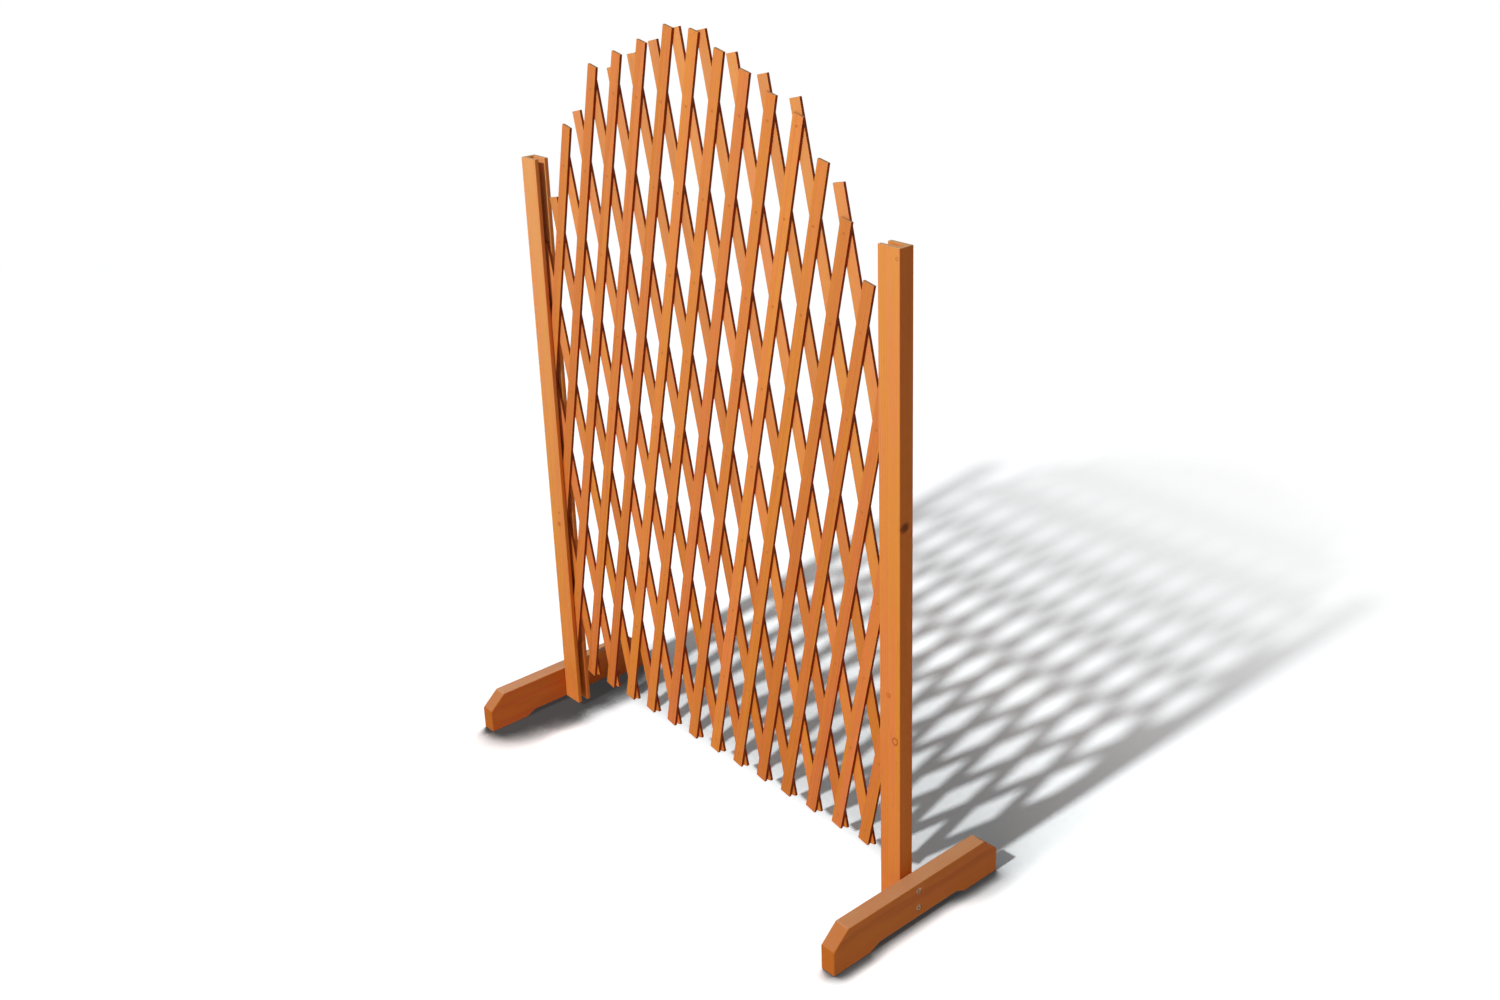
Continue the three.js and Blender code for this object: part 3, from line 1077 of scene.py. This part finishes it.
# Post pins: a shallow domed head at the front, the end flush at the back
def makePin(side, place):
    node = side + "_post_pin"
    low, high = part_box(node)
    seat = -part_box(side + "_post")[0].y
    rise = -low.y - seat
    rings = [
        (pin["shank"] - pin["endChamfer"], -high.y),
        (pin["shank"], -high.y + pin["endChamfer"]),
        (pin["shank"], seat + pin["seatGap"]),
        (pin["head"], seat + pin["seatGap"]),
    ]
    rings += domed(pin["headProfile"], pin["head"], seat, rise)
    made = turnedPiece(side + "_pin", rings, pin["sides"])
    made.data.transform(Matrix.Translation((place.x, 0, place.z)) @ upToFront)
    dress(made, side + "_stand", node, rivetSteel, angles["shadedFastener"])


for side, place in zip(("left", "right"), pinPlaces):
    makePin(side, place)
print("pins set")

# Studio: white floor with painted shadows and a painted glow, white surroundings, one lamp high in front of
# the fence
studio = {
    "floorSize": 160,
    "floorDrop": 0.0004,  # so that the feet never share their faces with it
    "floorBounce": 0.92,
    "floorTint": (1.0, 1.05, 1.07),
    "floorGlow": 0.035,
    "fadeTowards": (0.24, 1, 0),
    "fadeFrom": 0.28,
    "fadeTo": 1.78,  # metres behind the fence at which its shadow is gone under a painted white glow
    "whiteFrom": 2.6,
    "whiteTo": 4.0,  # metres away at which the floor is plain white on every side
    "leftToRight": (-0.2, 0.2),  # where the three pairs below pass from the left foot's to the right one's
    "contactReach": (0.092, 0.024),
    "contactFrom": (0.65, 0.42),
    "contactTo": (0.95, 1.0),
    "contactLean": (-0.7, 0.28, 0.6),  # most of the painted shadow under the feet lies on their right
    "paintedShadowGrey": 0.03,
    "paintedShadeReach": 0.6,  # the painted soft shadow close behind the lattice
    "paintedShadeLean": (0, -0.8, 0.6),
    "paintedShadeSide": (0.48, 0.41),  # it ends past the feet, and at the slats
    "paintedShadeFront": (0.0, 0.12),
    "paintedShadeSpan": (0.06, 0.25),
    "paintedShadeGrey": 0.5,
    "paintedShadeTint": (0, 0.10, 0.13),  # a painted bluish glow that takes the wood's orange glow out of the shadow
    "fill": 0.1,
    "wallGlow": 2.3,  # the white wall behind, low along the horizon
    "wallTowards": (0.1, 1.0),
    "wallLowness": 8.0,
    "lampPlace": (0.38, -5.3, 4.8),
    "lampSize": 0.3,
    "lampPower": 350,
}


def seenRays(tree):
    path = tree.nodes.new("ShaderNodeLightPath").outputs
    shiny = sums(tree, "MAXIMUM", path["Is Glossy Ray"], path["Is Transmission Ray"])
    return sums(tree, "MAXIMUM", path["Is Camera Ray"], shiny)


def shaderMix(tree, factor, first, second):
    node = tree.nodes.new("ShaderNodeMixShader")
    plug(tree, node.inputs[0], factor)
    tree.links.new(first, node.inputs[1])
    tree.links.new(second, node.inputs[2])
    return node.outputs[0]


def plainShader(tree, kind, strength):
    node = tree.nodes.new(kind)
    node.inputs["Color"].default_value = (strength, strength, strength, 1)
    return node.outputs[0]


def openShare(tree, reachHere, leaning):
    # how open the floor is within reach, 1 in the clear, looking mostly the way it leans
    node = tree.nodes.new("ShaderNodeAmbientOcclusion")
    plug(tree, node.inputs["Distance"], reachHere)
    plug(tree, node.inputs["Normal"], vectorSums(tree, "NORMALIZE", leaning))
    return node.outputs["AO"]


def litLevel(tree, here):
    # the floor's own colour undoes the lamp's falloff, so that wherever it is lit it just reaches white
    away = vectorSums(tree, "DISTANCE", here, studio["lampPlace"], out=1)
    spread = studio["lampPower"] * studio["lampPlace"][2] / math.pi ** 2
    lit = sums(tree, "DIVIDE", spread, sums(tree, "POWER", away, 3.0))
    return sums(tree, "DIVIDE", 1.0, sums(tree, "ADD", lit, studio["fill"]))


def paintedShadowUnderFeet(tree, across):
    # painted contact shadow: the floor's colour darkened where the feet hide it
    reachHere, dark, clear = (
        eased(tree, across, *studio["leftToRight"], *studio[name])
        for name in ("contactReach", "contactFrom", "contactTo")
    )
    contact = openShare(tree, reachHere, studio["contactLean"])
    return eased(tree, contact, dark, clear, studio["paintedShadowGrey"], 1.0)


def paintedShadeBehind(tree, across, depth):
    # painted shadow: the floor's colour darkened where the lattice hides it within reach
    paintedShade = sums(tree, "SUBTRACT", 1.0, openShare(tree, studio["paintedShadeReach"], studio["paintedShadeLean"]))
    fromMiddle = sums(tree, "ABSOLUTE", across)
    paintedShade = sums(tree, "MULTIPLY", paintedShade, eased(tree, fromMiddle, *studio["paintedShadeSide"]))
    return sums(tree, "MULTIPLY", paintedShade, eased(tree, depth, *studio["paintedShadeFront"]))


def floorSeen(tree, here):
    # the floor as seen: white, with painted shadows under the feet and behind the lattice, and a faint
    # painted glow
    place = parts(tree, here)
    contact = paintedShadowUnderFeet(tree, place["X"])
    paintedShade = paintedShadeBehind(tree, place["X"], place["Y"])
    level = sums(tree, "MULTIPLY", litLevel(tree, here), contact)
    level = sums(tree, "MULTIPLY", level, eased(tree, paintedShade, *studio["paintedShadeSpan"], 1.0, studio["paintedShadeGrey"]))
    paintedShade = sums(tree, "MULTIPLY", paintedShade, contact)
    grey = tree.nodes.new("ShaderNodeCombineColor")
    glow = tree.nodes.new("ShaderNodeCombineColor")
    for index in range(3):
        plug(tree, grey.inputs[index], sums(tree, "MULTIPLY", level, studio["floorTint"][index]))
        tint = sums(tree, "MULTIPLY_ADD", paintedShade, studio["paintedShadeTint"][index], studio["floorGlow"])
        plug(tree, glow.inputs[index], tint)
    shader = tree.nodes.new("ShaderNodeBsdfDiffuse")
    plug(tree, shader.inputs["Color"], grey.outputs[0])
    shining = tree.nodes.new("ShaderNodeEmission")
    plug(tree, shining.inputs["Color"], glow.outputs[0])
    both = tree.nodes.new("ShaderNodeAddShader")
    tree.links.new(shader.outputs[0], both.inputs[0])
    tree.links.new(shining.outputs[0], both.inputs[1])
    return both.outputs[0]


def makeFloor():
    nothingSelected()
    bpy.ops.mesh.primitive_plane_add(size=studio["floorSize"], location=(0, 0, -studio["floorDrop"]))
    floor = bpy.context.object
    floor.name = "studio_floor"
    bpy.ops.object.transform_apply(location=True, rotation=True, scale=True)
    made, tree, unused = newMaterial("studio_floor")
    tree.nodes.remove(unused)
    here = placeOn(tree)
    # painted glow: further behind the fence the floor shines white and its shadow fades out
    behind = vectorSums(tree, "DOT_PRODUCT", here, studio["fadeTowards"], out=1)
    fade = eased(tree, behind, studio["fadeFrom"], studio["fadeTo"])
    away = vectorSums(tree, "LENGTH", here, out=1)
    fade = sums(tree, "MAXIMUM", fade, eased(tree, away, studio["whiteFrom"], studio["whiteTo"]))
    seen = shaderMix(tree, fade, floorSeen(tree, here), plainShader(tree, "ShaderNodeEmission", 1.0))
    bounce = plainShader(tree, "ShaderNodeBsdfDiffuse", studio["floorBounce"])
    out = tree.nodes["Material Output"]
    tree.links.new(shaderMix(tree, seenRays(tree), bounce, seen), out.inputs["Surface"])
    floor.data.materials.append(made)


def makeWorld():
    world = bpy.data.worlds.new("studio_white")
    bpy.context.scene.world = world
    world.use_nodes = True
    tree = world.node_tree
    tree.nodes.remove(tree.nodes["Background"])
    towards = parts(tree, placeOn(tree, "Generated"))
    low = sums(tree, "SUBTRACT", 1.0, towards["Z"], clamp=True)
    low = sums(tree, "POWER", low, studio["wallLowness"])
    wall = eased(tree, towards["Y"], *studio["wallTowards"], 0.0, studio["wallGlow"])
    glow = sums(tree, "MULTIPLY", low, wall)
    fill = plainShader(tree, "ShaderNodeBackground", 1.0)
    plug(tree, fill.node.inputs["Strength"], sums(tree, "ADD", glow, studio["fill"]))
    white = plainShader(tree, "ShaderNodeBackground", 1.0)
    tree.links.new(shaderMix(tree, seenRays(tree), fill, white), tree.nodes["World Output"].inputs["Surface"])


def makeLamp():
    lamp = bpy.data.lights.new("front_lamp", "AREA")
    lamp.shape = "DISK"
    lamp.size = studio["lampSize"]
    lamp.energy = studio["lampPower"]
    holder = bpy.data.objects.new("front_lamp", lamp)
    bpy.context.scene.collection.objects.link(holder)
    holder.location = studio["lampPlace"]
    holder.rotation_euler = holder.location.to_track_quat("Z", "Y").to_euler()


makeFloor()
makeWorld()
makeLamp()
bpy.context.scene.view_settings.view_transform = "Standard"
print("studio lit")
